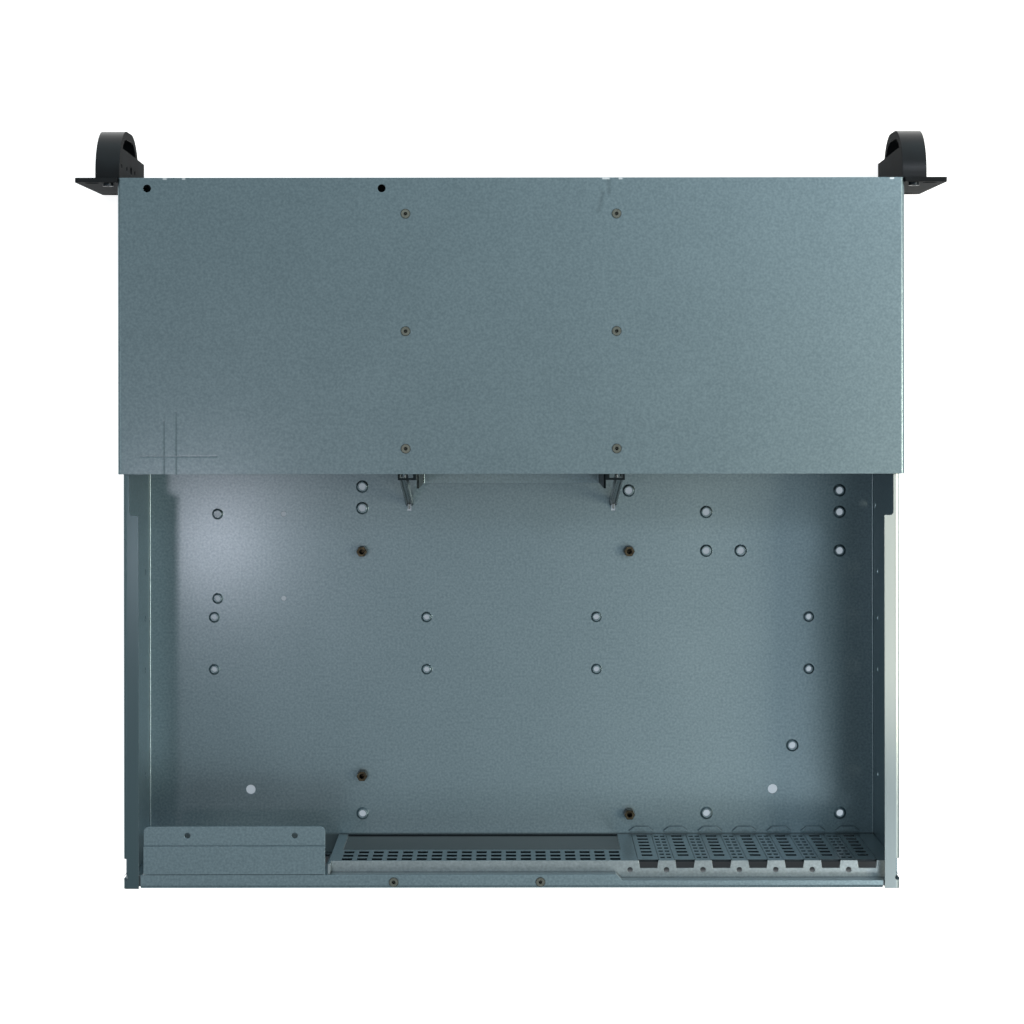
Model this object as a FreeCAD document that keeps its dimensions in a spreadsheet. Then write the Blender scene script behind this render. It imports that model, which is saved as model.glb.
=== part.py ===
import FreeCAD, Part
import os
import re

import Sketcher

# Empty 2U rackmount server case, short depth, with the rear lid off.
# Frame: origin at the centre of the pan's underside, +X to the right when facing the front,
# +Y towards the rear, +Z up. The front is at -Y. All lengths are in millimetres.

doc = FreeCAD.newDocument("rackmount_case")

SIZES = [
    # overall
    ("case_width", 430.0, "outside of the two side walls"),
    ("case_depth", 393.7, "front plane to rear plane"),
    ("rim_height", 85.6, "underside of the pan to the top of the side flanges"),
    ("steel", 1.2, "thickness of the galvanised sheet"),
    ("bend", 0.8, "inside radius of a fold"),
    # rack front
    ("panel_over", 2.5, "front panel above the side flanges"),
    ("panel_steel", 2.5, "thickness of the front panel"),
    ("ear_reach", 26.3, "rack ear beyond the side wall"),
    ("ear_corner", 2.0, "corner radius of an ear"),
    ("rack_slot_in", 8.75, "tip of an ear to the middle of its slots"),
    ("rack_slot_up", 5.95, "lower or upper edge of an ear to a slot"),
    ("rack_slot_long", 8.0, "length of a rack slot"),
    ("rack_slot_high", 6.8, "height of a rack slot"),
    ("intake_side", 24.2, "side wall's inner face to the last intake slot"),
    ("intake_slot_wide", 5.0, "width of an intake slot"),
    ("intake_share", 0.757, "height of an intake slot, as a share of the rows' rise"),
    ("intake_pitch", 9.6, "intake slot to slot, sideways"),
    ("intake_drop", 24.6, "side flange's top to the upper row's centre"),
    ("intake_base", 24.0, "height of the lowest row's centre"),
    ("intake_columns", 12, "intake slots in a row"),
    ("intake_rows", 3, "rows of intake slots"),
    # pan
    ("side_flange", 8.4, "inward flange on top of a side wall"),
    ("flange_relief", 5.0, "how far the flange is cut back behind the cover"),
    ("relief_long", 23.0, "length of that cut"),
    ("front_flange", 12.0, "inward flange at the front of a side wall"),
    ("latch_long", 9.7, "lid latch notch at the rear corner"),
    ("latch_back", 6.9, "rear plane to that notch"),
    ("latch_deep", 2.2, "how far the notch cuts in"),
    ("latch_round", 2.8, "round relief at the notch's rear end"),
    ("latch_round_in", 1.3, "side wall's outer face to the relief's middle"),
    ("latch_round_back", 5.9, "rear plane to the relief's middle"),
    ("latch_high", 9.0, "how far the notch cuts down"),
    ("wall_hole", 3.6, "holes low in the side walls"),
    ("wall_hole_height", 17.0, "height of those holes"),
    ("wall_hole_first", 51.15, "rear plane to the first of them"),
    ("wall_hole_second", 112.45, "rear plane to the second"),
    ("wall_hole_third", 142.55, "rear plane to the third"),
    ("wall_hole_fourth", 169.75, "rear plane to the fourth"),
    ("wall_hole_low", 9.0, "height of one more hole in the right wall"),
    ("wall_hole_far", 207.85, "rear plane to that one"),
    ("panel_rivet_low", 24.0, "height of the lower rivets behind the front panel"),
    ("panel_rivet_drop", 23.6, "side flange's top to the upper ones"),
    ("fit", 0.3, "clearance between neighbouring sheets"),
    # cover
    ("cover_depth", 164.1, "front plane to the cover's rear edge"),
    ("cover_steel", 1.2, "thickness of the cover"),
    ("cover_gap", 1.6, "side wall to the cover's skirt"),
    ("cover_skirt", 16.0, "height of the cover's skirt"),
    ("cover_corner", 3.0, "radius of the cover's rear corners"),
    ("cover_hole", 4.4, "two spare holes near the front edge"),
    ("cover_hole_inset", 5.9, "front plane to those holes"),
    ("cover_hole_side", 15.2, "skirt to the outer one"),
    ("cover_hole_inner", 71.6, "case centre to the inner one"),
    ("rivet_hole", 3.2, "hole for a rivet"),
    ("rivet_head", 5.2, "head of a rivet"),
    ("rivet_crown", 0.5, "height of a rivet's head"),
    ("rivet_tail", 4.2, "set end of a rivet"),
    ("rivet_tail_high", 1.0, "height of that end"),
    ("rivet_bore", 1.7, "hollow in a rivet's head"),
    ("rivet_bore_deep", 1.1, "depth of that hollow"),
    ("rivet_line", 58.4, "case centre to a row of cover rivets"),
    ("rivet_first", 20.0, "front plane to the first cover rivet"),
    ("rivet_pitch", 65.0, "cover rivet to rivet"),
    # drive cage and legs
    ("bay_width", 102.4, "inside of the drive cage"),
    ("bay_floor", 18.0, "height of the cage's tray"),
    ("bay_front", 9.0, "front plane to the cage"),
    ("bay_overhang", 8.0, "cage walls behind the cover's rear edge"),
    ("bay_flange", 10.5, "outward flange on top of a cage wall"),
    ("drive_hole", 3.6, "holes for the drive screws"),
    ("drive_hole_rise", 6.35, "tray to the lower row of drive holes"),
    ("drive_pitch", 41.6, "first to second drive hole"),
    ("drive_span", 101.6, "first to last drive hole"),
    ("drive_level", 28.0, "lower to upper row of drive holes"),
    ("drive_first", 22.0, "cage's front edge to the first drive hole"),
    ("leg_line", 60.2, "case centre to the middle of a leg"),
    ("leg_wide", 3.8, "width of a leg"),
    ("leg_side", 1.0, "thickness of a leg's two side plates"),
    ("leg_deep", 3.2, "depth of the side plates, front to rear"),
    ("leg_face", 1.0, "thickness of the face between them"),
    ("leg_sunk", 0.8, "face ahead of the side plates' rear edges"),
    ("leg_gusset", 12.0, "how far the side plates reach under the cover"),
    ("leg_gusset_high", 16.0, "height of that part"),
    ("relief_side", 2.0, "cage wall to the opening over a leg"),
    ("relief_edge", 1.2, "strip left around that opening"),
    ("leg_step", 3.4, "leg's top behind the cover's rear edge"),
    ("leg_rake", 22.0, "leg's foot behind the cover's rear edge"),
    ("leg_long", 24.0, "leg's top forward of the cover's rear edge"),
    ("hook_long", 5.0, "tongue of a leg in the floor"),
    ("hook_slot", 6.4, "slot in the floor for that tongue"),
    ("hook_wide", 2.2, "width of that slot"),
    ("hook_ahead", 3.2, "slot's front end ahead of the leg's foot"),
    # rear panel
    ("recess", 13.45, "rear plane to the inner face of the recessed wall"),
    ("ledge_drop", 9.4, "side flange's top to the screw ledge"),
    ("recess_side", 5.5, "connector aperture to the end of the recessed wall"),
    ("rim_wide", 7.6, "rear rim over the connector area"),
    ("rim_narrow", 4.4, "rear rim over the expansion slots"),
    ("rim_step_in", 16.9, "first slot to the step of the rim"),
    ("rim_side", 8.2, "side wall's inner face to an end of the rim"),
    ("rim_lip", 8.0, "lip of the rim, hanging down at the rear"),
    ("rim_rivet_left", 65.4, "case centre to one rim rivet"),
    ("rim_rivet_right", 15.9, "case centre to the other"),
    ("rim_rivet_in", 3.6, "rear plane to both"),
    ("rim_overlap", 0.4, "front edge of the rim ahead of the riser"),
    ("aperture_wide", 158.75, "connector aperture"),
    ("aperture_high", 44.45, "connector aperture"),
    ("aperture_base", 2.2, "height of its lower edge"),
    ("aperture_inset", 8.4, "its edge beyond the first board hole"),
    ("vent_wide", 5.8, "slot in the vent band"),
    ("vent_share", 0.565, "height of such a slot, as a share of the rows' rise"),
    ("vent_pitch", 8.35, "vent slot to slot, sideways"),
    ("vent_drop", 4.4, "ledge to the upper row's centre"),
    ("vent_clear", 6.75, "connector aperture to the lowest row's centre"),
    ("vent_columns", 19, "vent slots in a row"),
    ("vent_rows", 3, "rows of vent slots"),
    ("slot_pitch", 20.32, "expansion slot to slot"),
    ("slot_side", 15.48, "side wall's inner face to the last slot"),
    ("slot_wide", 12.0, "opening for an expansion card's bracket"),
    ("slot_base", 3.4, "height of that opening's lower edge"),
    ("slot_count", 7, "expansion slots"),
    ("notch_front", 11.2, "ledge notch, at its open side"),
    ("notch_back", 9.6, "ledge notch, at its closed side"),
    ("notch_deep", 4.3, "depth of the ledge notch"),
    ("screw_offset", 10.4, "slot centre to its screw hole"),
    ("screw_inset", 5.2, "recessed wall to the screw holes"),
    ("screw_hole", 3.1, "hole for a bracket screw"),
    ("web_vent_wide", 2.6, "vents between the slots"),
    ("web_vent_high", 3.0, "vents between the slots"),
    ("web_vent_gap", 3.6, "centre to centre of a pair"),
    ("web_vent_drop", 8.4, "ledge to the highest pair"),
    ("web_vent_base", 9.0, "height of the lowest pair"),
    ("web_vent_rows", 8, "pairs in a web"),
    ("lance_wide", 14.4, "pressed-up loop for a bracket's tongue"),
    ("lance_taper", 3.2, "the loop's front, narrower at each end"),
    ("lance_deep", 2.6, "loop, front to rear"),
    ("lance_high", 1.6, "height of the loop"),
    ("lance_steel", 0.8, "thickness of the pressed loop"),
    ("lance_gap", 1.7, "loop to the recessed wall"),
    # slot blanks
    ("blank_gap", 0.25, "gap beside a blank"),
    ("blank_top", 2.6, "ledge top to the top of a blank"),
    ("blank_slot_wide", 6.2, "vent in a blank"),
    ("blank_slot_high", 4.2, "vent in a blank"),
    ("blank_drop", 11.8, "top of a blank to its highest vent"),
    ("blank_base", 8.4, "height of the lowest vent's centre"),
    ("blank_rows", 7, "vents in a blank"),
    ("nib_long", 1.6, "bridge that holds a blank"),
    ("nib_inset", 3.0, "end of a blank to its bridge"),
    # power supply bay
    ("supply_side", 9.8, "side wall's inner face to the bracket"),
    ("supply_gap", 1.4, "end of the recessed wall to the bracket"),
    ("supply_deep", 26.3, "bracket, front to rear"),
    ("supply_fold", 15.5, "bracket's rear edge to its joggle"),
    ("supply_hole", 3.4, "holes in the bracket"),
    ("supply_hole_in", 5.0, "bracket's front edge to its holes"),
    ("supply_hole_end", 16.9, "bracket's inner end to the second hole"),
    ("supply_hole_side", 24.2, "bracket's outer end to the first hole"),
    ("supply_shelf", 12.5, "rear panel's shelf under the bracket, ahead of the rim"),
    ("supply_shelf_in", 1.5, "ends of the bracket to that shelf"),
    ("supply_window_low", 6.0, "height of the window's lower edge"),
    ("supply_window_drop", 10.4, "underside of the side flange to its upper edge"),
    ("supply_margin", 5.0, "edge left beside the window"),
    # main board pattern
    ("board_offset", 164.5, "first expansion slot to the first board hole"),
    ("board_near", 157.48, "first board hole to the small board's second column"),
    ("board_middle", 203.2, "to the middle column"),
    ("board_beyond", 223.52, "to a single hole beyond it"),
    ("board_odd", 253.9, "to another single hole"),
    ("board_far", 281.94, "to the last column"),
    ("board_rear", 12.27, "recessed wall to the rear row of board holes"),
    ("row_first", 22.86, "rear row to the small board's first hole"),
    ("row_odd", 39.9, "to the single hole"),
    ("row_middle", 154.94, "to the small board's front row"),
    ("row_long", 177.8, "to the next row"),
    ("row_extra", 180.3, "to a hole beside it"),
    ("row_last", 190.5, "to the long board's front row"),
    ("row_end", 193.0, "to the hole nearest the cover"),
    ("boss_hole", 4.1, "hole in a pressed boss"),
    ("boss_outer", 7.4, "foot of a pressed boss"),
    ("boss_high", 1.3, "height of a pressed boss"),
    ("boss_slope", 38.0, "slope of its side, from upright, in degrees"),
    ("small_boss_hole", 3.2, "hole in a small boss"),
    ("small_boss_outer", 6.4, "foot of a small boss"),
    ("small_boss_side", 38.2, "side wall's inner face to the outer small bosses"),
    ("small_boss_mid", 50.15, "case centre to the inner small bosses"),
    ("small_boss_rear", 110.85, "rear plane to their rear row"),
    ("small_boss_front", 141.65, "rear plane to their front row"),
    ("pair_side", 40.2, "side wall's inner face to the bosses beside the dimples"),
    ("pair_rear", 152.75, "rear plane to the rear pair"),
    ("pair_front", 202.65, "rear plane to the front pair"),
    ("plain_hole", 5.6, "plain holes in the floor"),
    ("plain_side", 59.6, "side wall's inner face to a plain hole"),
    ("plain_rear", 39.85, "rear plane to the plain holes"),
    ("dimple", 3.0, "small holes in the floor"),
    ("dimple_side", 79.2, "side wall's inner face to the small holes"),
    ("standoff_flats", 5.5, "standoff, across its flats"),
    ("standoff_high", 6.35, "standoff above the floor"),
    ("standoff_stud", 3.5, "standoff's stud in the floor"),
    ("standoff_bore", 2.9, "standoff's threaded bore"),
    ("standoff_web", 0.6, "metal left below the bore"),
    # handles
    ("handle_in", 10.9, "tip of an ear to the handle's outer side"),
    ("handle_width", 13.4, "width of the grip"),
    ("cheek_steel", 2.0, "thickness of the cheek"),
    ("cheek_reach", 17.8, "cheek forward of the panel, at its top"),
    ("cheek_lean", 2.4, "how much less it reaches at its foot"),
    ("cheek_foot", 0.4, "height of the cheek's lower edge"),
    ("grip_reach", 28.4, "grip forward of the panel"),
    ("grip_drop", 3.5, "front panel's top to the grip's top"),
    ("grip_base", 20.0, "height of the grip's underside"),
    ("grip_thick", 4.6, "thickness of the grip"),
    ("grip_round", 25.0, "outside radius of the grip's bends"),
    ("handle_screw", 3.0, "shank of a handle screw"),
    ("handle_screw_deep", 7.0, "shank in the handle"),
    ("handle_screw_head", 6.0, "head of a handle screw"),
    ("handle_screw_high", 1.8, "height of that head"),
    ("handle_screw_socket", 2.6, "hollow in that head"),
    ("handle_screw_hollow", 1.0, "depth of that hollow"),
    ("lamp_hole", 3.0, "three lamp holes in the left cheek"),
    ("lamp_first", 7.4, "grip's top to the first"),
    ("lamp_second", 24.6, "grip's top to the second"),
    ("lamp_third", 51.6, "grip's top to the third"),
    ("button_hole", 5.0, "button hole in the left cheek"),
    ("button_drop", 38.6, "grip's top to that hole"),
    ("cheek_hole_in", 7.4, "panel to those holes"),
]

sheet = doc.addObject("Spreadsheet::Sheet", "sheet")
for row, (alias, value, note) in enumerate(SIZES, start=1):
    sheet.set(f"A{row}", alias)
    sheet.set(f"B{row}", str(value))
    sheet.setAlias(f"B{row}", alias)
    sheet.set(f"C{row}", note)
doc.recompute()

ALIASES = {alias for alias, value, note in SIZES}

# Places that several pieces share, as formulas of the sheet's values.
HALF = "(case_width / 2)"
INNER = "(case_width / 2 - steel)"
FRONT = "(-case_depth / 2)"
REAR = "(case_depth / 2)"
PAN_FRONT = "(-case_depth / 2 + panel_steel)"
COVER_REAR = "(-case_depth / 2 + cover_depth)"
SKIRT = "(case_width / 2 + cover_gap)"
COVER_TOP = "(rim_height + cover_steel)"
UNDER_RIM = "(rim_height - steel)"
WALL = "(case_depth / 2 - recess)"
WALL_BACK = "(case_depth / 2 - recess + steel)"
LIP = "(case_depth / 2 - steel)"
BAY = "(bay_width / 2)"
BAY_OUT = "(bay_width / 2 + steel)"
BAY_FLANGE = "(bay_width / 2 + steel + bay_flange)"
BAY_FRONT = "(-case_depth / 2 + bay_front)"
BAY_REAR = "(-case_depth / 2 + cover_depth + bay_overhang)"
LEG_TOP = "(-case_depth / 2 + cover_depth + leg_step)"
LEG_FOOT = "(-case_depth / 2 + cover_depth + leg_rake)"
BOARD_ROW = "(case_depth / 2 - recess - board_rear)"
PANEL_TOP = "(rim_height + panel_over)"
EAR = "(case_width / 2 + ear_reach)"
CHEEK = "(case_width / 2 + ear_reach - handle_in - handle_width)"
GRIP_TOP = "(rim_height + panel_over - grip_drop)"
LEDGE = "(rim_height - ledge_drop)"
SLOT_FIRST = "(case_width / 2 - steel - slot_side - (slot_count - 1) * slot_pitch)"
BOARD_LEFT = f"(board_offset - {SLOT_FIRST})"
RECESS_END = f"({BOARD_LEFT} + aperture_inset + recess_side)"
RECESS_IN = f"({BOARD_LEFT} + aperture_inset + recess_side - steel)"
RIM_STEP = f"({SLOT_FIRST} - rim_step_in)"
RIM_END = "(case_width / 2 - steel - rim_side)"
SUPPLY_LEFT = "(case_width / 2 - steel - supply_side)"
SUPPLY_RIGHT = f"({RECESS_END} + supply_gap)"
LEG_IN = "(leg_line - leg_wide / 2)"
LEG_OUT = "(leg_line + leg_wide / 2)"

# The two sides of the case, as the sign of X. Left is seen from the rear.
SIDES = {"left": 1, "right": -1}


def size(formula):
    """Write a formula of the sheet's aliases the way the document's expressions need it."""
    def named(word):
        return f"sheet.{word[0]}" if word[0] in ALIASES else word[0]

    return re.sub(r"[a-z_]+", named, str(formula))


def number(formula):
    """The present value of such a formula."""
    return float(sheet.evalExpression(size(formula)))


def new_body(label):
    body = doc.addObject("PartDesign::Body", label)
    body.Label = label
    return body


def sketch_on(body, plane, place):
    """A sketch on one of the body's own origin planes, moved along that plane's axis to a place."""
    face = next(item for item in body.Origin.OriginFeatures if item.Role == f"{plane}_Plane")
    sketch = body.newObject("Sketcher::SketchObject", f"{body.Label}_sketch")
    sketch.AttachmentSupport = [(face, "")]
    sketch.MapMode = "FlatFace"
    sign = "-" if plane == "XZ" else ""
    sketch.setExpression("AttachmentOffset.Base.z", size(f"{sign}({place})"))
    return sketch


def fix_point(sketch, geometry, point, corner):
    """Tie one point of a sketch to its place, measured from the sketch's origin."""
    for direction, formula in zip(("DistanceX", "DistanceY"), corner):
        constraint = Sketcher.Constraint(direction, -1, 1, geometry, point, number(formula))
        index = sketch.addConstraint(constraint)
        sketch.setExpression(f"Constraints[{index}]", size(formula))


def draw_polygon(sketch, corners):
    """A closed outline of straight lines."""
    points = [FreeCAD.Vector(number(u), number(v), 0) for u, v in corners]
    first = sketch.GeometryCount
    count = len(points)
    for index, point in enumerate(points):
        sketch.addGeometry(Part.LineSegment(point, points[(index + 1) % count]))
    for index in range(count):
        following = first + (index + 1) % count
        sketch.addConstraint(Sketcher.Constraint("Coincident", first + index, 2, following, 1))
    for index, corner in enumerate(corners):
        fix_point(sketch, first + index, 1, corner)


def draw_circle(sketch, centre, diameter):
    place = FreeCAD.Vector(number(centre[0]), number(centre[1]), 0)
    circle = sketch.addGeometry(Part.Circle(place, FreeCAD.Vector(0, 0, 1), number(diameter) / 2))
    fix_point(sketch, circle, 3, centre)
    index = sketch.addConstraint(Sketcher.Constraint("Diameter", circle, number(diameter)))
    sketch.setExpression(f"Constraints[{index}]", size(diameter))


def rectangle(left, right, low, high):
    return [(left, low), (right, low), (right, high), (left, high)]


def centred(place_u, place_v, wide, high):
    """Corners of a rectangle about a centre."""
    return rectangle(f"({place_u}) - {wide} / 2", f"({place_u}) + {wide} / 2",
                     f"({place_v}) - {high} / 2", f"({place_v}) + {high} / 2")


def mirror_outline(corners, sign):
    """The same outline on the other side of X = 0 when the sign is -1."""
    if sign > 0:
        return corners
    return [(f"-({u})", v) for u, v in reversed(corners)]


def span(start, end, sign):
    """Start and end along X, for the left side or mirrored for the right."""
    return (start, end) if sign > 0 else (f"-({end})", f"-({start})")


def extrude(kind, body, plane, start, end, outlines=(), circles=()):
    """Pad or pocket outlines and circles of one sketch between two places along the plane's axis."""
    sketch = sketch_on(body, plane, start)
    for corners in outlines:
        draw_polygon(sketch, corners)
    for centre, diameter in circles:
        draw_circle(sketch, centre, diameter)
    feature = body.newObject(f"PartDesign::{kind}", f"{body.Label}_{kind.lower()}")
    feature.Profile = sketch
    # A pad grows along the sketch's normal and a pocket against it; an XZ sketch faces -Y.
    feature.Reversed = (kind == "Pocket") != (plane == "XZ")
    feature.Refine = kind == "Pad"
    feature.setExpression("Length", size(f"({end}) - ({start})"))
    body.Tip = feature
    return feature


def pad(body, plane, start, end, outlines=(), circles=()):
    return extrude("Pad", body, plane, start, end, outlines, circles)


def pocket(body, plane, start, end, outlines=(), circles=()):
    """Cut, and make sure that something was cut away."""
    doc.recompute()
    before = body.Tip.Shape.Volume
    feature = extrude("Pocket", body, plane, start, end, outlines, circles)
    doc.recompute()
    if not feature.Shape.Volume < before:
        raise RuntimeError(f"{feature.Name} removes nothing")
    return feature


def repeat(feature, across=None, along=None, reverse=False):
    """Repeat a feature along its sketch's own axes; each direction is a pitch and a count."""
    body = feature.getParentGeoFeatureGroup()
    pattern = body.newObject("PartDesign::LinearPattern", f"{body.Label}_pattern")
    pattern.Originals = [feature]
    pattern.Refine = False
    for suffix, axis, step in (("", "H_Axis", across), ("2", "V_Axis", along)):
        pitch, count = step or ("1", "1")
        setattr(pattern, f"Direction{suffix}", (feature.Profile[0], [axis]))
        setattr(pattern, f"Mode{suffix}", "Extent")
        # A single copy still needs a length above zero.
        pattern.setExpression(f"Length{suffix}", size(f"max(({count} - 1) * {pitch}; 1)"))
        pattern.setExpression(f"Occurrences{suffix}", size(count))
    pattern.Reversed = reverse
    body.Tip = pattern
    doc.recompute()
    return pattern


def round_edges(body, axis, places, radius):
    """Round the straight edges that run along an axis through any of the given places."""
    doc.recompute()
    keep = [index for index in range(3) if index != "XYZ".index(axis)]
    targets = [tuple(number(value) for value in place) for place in places]
    base = body.Tip
    names = []
    for index, edge in enumerate(base.Shape.Edges, start=1):
        ends = [vertex.Point for vertex in edge.Vertexes]
        for target in targets:
            if len(ends) == 2 and all(abs(end[k] - t) < 0.01 for end in ends for k, t in zip(keep, target)):
                names.append(f"Edge{index}")
                break
    feature = body.newObject("PartDesign::Fillet", f"{body.Label}_bends")
    feature.Base = (base, names)
    feature.setExpression("Radius", size(radius))
    body.Tip = feature
    doc.recompute()
    return feature


def both(places):
    """The same places on both sides of X = 0."""
    return places + [(f"-({u})", v) for u, v in places]


def board_hole(across, ahead):
    """A place in the main board's hole pattern: across from the first hole, ahead of the rear row."""
    return (f"{BOARD_LEFT} - {across}", f"{BOARD_ROW} - {ahead}")


# The small board's four holes carry the standoffs.
STANDOFFS = [board_hole("0", "row_first"), board_hole("0", "row_middle"), board_hole("board_near", "0"),
             board_hole("board_near", "row_middle")]

# Rivets through the cover: the rear one of each side also holds a leg.
COVER_RIVETS = both([("rivet_line", f"{FRONT} + rivet_first"),
                     ("rivet_line", f"{FRONT} + rivet_first + rivet_pitch")])
COVER_LEG_RIVETS = both([("rivet_line", f"{FRONT} + rivet_first + 2 * rivet_pitch")])
PANEL_RIVETS = both([(f"{INNER} - front_flange / 2", "panel_rivet_low"),
                     (f"{INNER} - front_flange / 2", "rim_height - panel_rivet_drop")])
RIM_RIVETS = [("rim_rivet_left", f"{REAR} - rim_rivet_in"), ("-rim_rivet_right", f"{REAR} - rim_rivet_in")]

# Heights of a handle's two screws, in the middle of the grip's ends.
SCREW_HEIGHTS = (f"({GRIP_TOP} - grip_thick / 2)", "(grip_base + grip_thick / 2)")
HANDLE_SCREWS = both([(f"{CHEEK} + handle_width / 2", height) for height in SCREW_HEIGHTS])

# Further board holes are pressed bosses, at the larger boards' places.
BOSSES = [
    board_hole("0", "0"), board_hole("board_middle", "0"), board_hole("board_far", "0"),
    board_hole("board_odd", "row_odd"),
    board_hole("board_middle", "row_middle"), board_hole("board_beyond", "row_middle"),
    board_hole("board_far", "row_middle"),
    board_hole("board_middle", "row_long"), board_hole("board_far", "row_long"), board_hole("0", "row_extra"),
    board_hole("board_near", "row_last"), board_hole("board_far", "row_last"), board_hole("0", "row_end"),
]

# Small bosses stand in two rows across the middle of the floor, and two more beside the dimples.
SMALL_BOSSES = both([(across, f"{REAR} - {ahead}")
                     for across in (f"{INNER} - small_boss_side", "small_boss_mid")
                     for ahead in ("small_boss_rear", "small_boss_front")])
SMALL_BOSSES += [(f"{INNER} - pair_side", f"{REAR} - {ahead}") for ahead in ("pair_rear", "pair_front")]
DIMPLES = [(f"{INNER} - dimple_side", f"{REAR} - {ahead}") for ahead in ("pair_rear", "pair_front")]
PLAIN_HOLES = both([(f"{INNER} - plain_side", f"{REAR} - plain_rear")])

# Holes low in the side walls, measured from the rear.
WALL_HOLES = ("wall_hole_first", "wall_hole_second", "wall_hole_third", "wall_hole_fourth")


def make_chassis_base():
    """Pan, side walls and their top flanges: one folded sheet."""
    body = new_body("chassis_base")
    edge = f"({HALF} - side_flange)"
    half = [(HALF, "0"), (HALF, "rim_height"), (edge, "rim_height"), (edge, UNDER_RIM), (INNER, UNDER_RIM),
            (INNER, "steel")]
    section = half + [(f"-({u})", v) for u, v in reversed(half)]
    pad(body, "XZ", PAN_FRONT, REAR, [section])
    round_edges(body, "Y", both([(INNER, "steel"), (INNER, UNDER_RIM)]), "bend")
    round_edges(body, "Y", both([(HALF, "0"), (HALF, "rim_height")]), "bend + steel")
    for sign in SIDES.values():
        flange = rectangle(f"{INNER} - front_flange", INNER, PAN_FRONT, f"{PAN_FRONT} + steel")
        pad(body, "XY", "steel + bend", f"{UNDER_RIM} - bend", [mirror_outline(flange, sign)])
        relief = rectangle(f"{edge} - 1", f"{edge} + flange_relief",
                           COVER_REAR, f"{COVER_REAR} + relief_long")
        pocket(body, "XY", f"{UNDER_RIM} - 1", "rim_height + 1", [mirror_outline(relief, sign)])
        latch = rectangle(f"{HALF} - latch_deep", f"{HALF} + 1",
                          f"{REAR} - latch_back - latch_long", f"{REAR} - latch_back")
        pocket(body, "XY", "rim_height - latch_high", "rim_height + 1", [mirror_outline(latch, sign)])
        relief = (f"{sign} * ({HALF} - latch_round_in)", f"{REAR} - latch_round_back")
        pocket(body, "XY", "rim_height - latch_high", "rim_height + 1", circles=[(relief, "latch_round")])
        start, end = span(f"{INNER} - 1", f"{HALF} + 1", sign)
        holes = [((f"{REAR} - {ahead}", "wall_hole_height"), "wall_hole") for ahead in WALL_HOLES]
        if sign < 0:
            holes.append(((f"{REAR} - wall_hole_far", "wall_hole_low"), "wall_hole"))
        pocket(body, "YZ", start, end, circles=holes)
    rivets = [(place, "rivet_hole") for place in PANEL_RIVETS]
    pocket(body, "XZ", f"{PAN_FRONT} - 1", f"{PAN_FRONT} + steel + 1", circles=rivets)
    round_edges(body, "Z", both([(f"{edge} + flange_relief", f"{COVER_REAR} + relief_long")]), "bend + steel")
    rings = [(place, "boss_outer") for place in BOSSES]
    rings += [(place, "small_boss_outer") for place in SMALL_BOSSES]
    cones = pad(body, "XY", "steel", "steel + boss_high", circles=rings)
    cones.setExpression("TaperAngle", size("-boss_slope"))
    # Loops pressed up from the floor, open towards the rear for the brackets' tongues.
    for form, low, high, inset in ((pad, "steel", "steel + lance_high", "0"),
                                   (pocket, "-1", "steel + lance_high - lance_steel", "lance_steel")):
        behind = f"{WALL} - lance_gap"
        ahead = f"{behind} - lance_deep + {inset}"
        wide, narrow = f"(lance_wide / 2 - {inset})", f"(lance_wide / 2 - lance_taper - {inset})"
        outline = [(f"-{SLOT_FIRST} - {wide}", behind), (f"-{SLOT_FIRST} - {narrow}", ahead),
                   (f"-{SLOT_FIRST} + {narrow}", ahead), (f"-{SLOT_FIRST} + {wide}", behind)]
        loop = form(body, "XY", low, high, [outline])
        repeat(loop, across=("slot_pitch", "slot_count"), reverse=True)
    holes = [(place, "boss_hole") for place in BOSSES]
    holes += [(place, "small_boss_hole") for place in SMALL_BOSSES]
    holes += [(place, "standoff_stud") for place in STANDOFFS]
    holes += [(place, "plain_hole") for place in PLAIN_HOLES] + [(place, "dimple") for place in DIMPLES]
    pocket(body, "XY", "-1", "steel + boss_high + 1", circles=holes)
    along = f"{LEG_FOOT} + hook_slot / 2 - hook_ahead"
    hooks = [centred(f"{sign} * leg_line", along, "hook_wide", "hook_slot") for sign in SIDES.values()]
    pocket(body, "XY", "-1", "steel + 1", hooks)


def make_front_cover():
    """Fixed cover over the front half, folded down outside the side walls."""
    body = new_body("front_cover")
    outer = f"({SKIRT} + cover_steel)"
    pad(body, "XY", "rim_height", COVER_TOP, [rectangle(f"-{outer}", outer, FRONT, COVER_REAR)])
    for sign in SIDES.values():
        skirt = rectangle(SKIRT, outer, f"{PAN_FRONT} + fit", COVER_REAR)
        pad(body, "XY", f"{COVER_TOP} - cover_skirt", COVER_TOP, [mirror_outline(skirt, sign)])
    round_edges(body, "X", [(COVER_REAR, f"{COVER_TOP} - cover_skirt")], "cover_corner")
    round_edges(body, "Y", both([(outer, COVER_TOP)]), "bend + cover_steel")
    rivets = [(place, "rivet_hole") for place in COVER_RIVETS + COVER_LEG_RIVETS]
    spare = [((place, f"{FRONT} + cover_hole_inset"), "cover_hole")
             for place in (f"{SKIRT} - cover_hole_side", "cover_hole_inner")]
    pocket(body, "XY", "rim_height - 1", f"{COVER_TOP} + 1", circles=rivets + spare)


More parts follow.
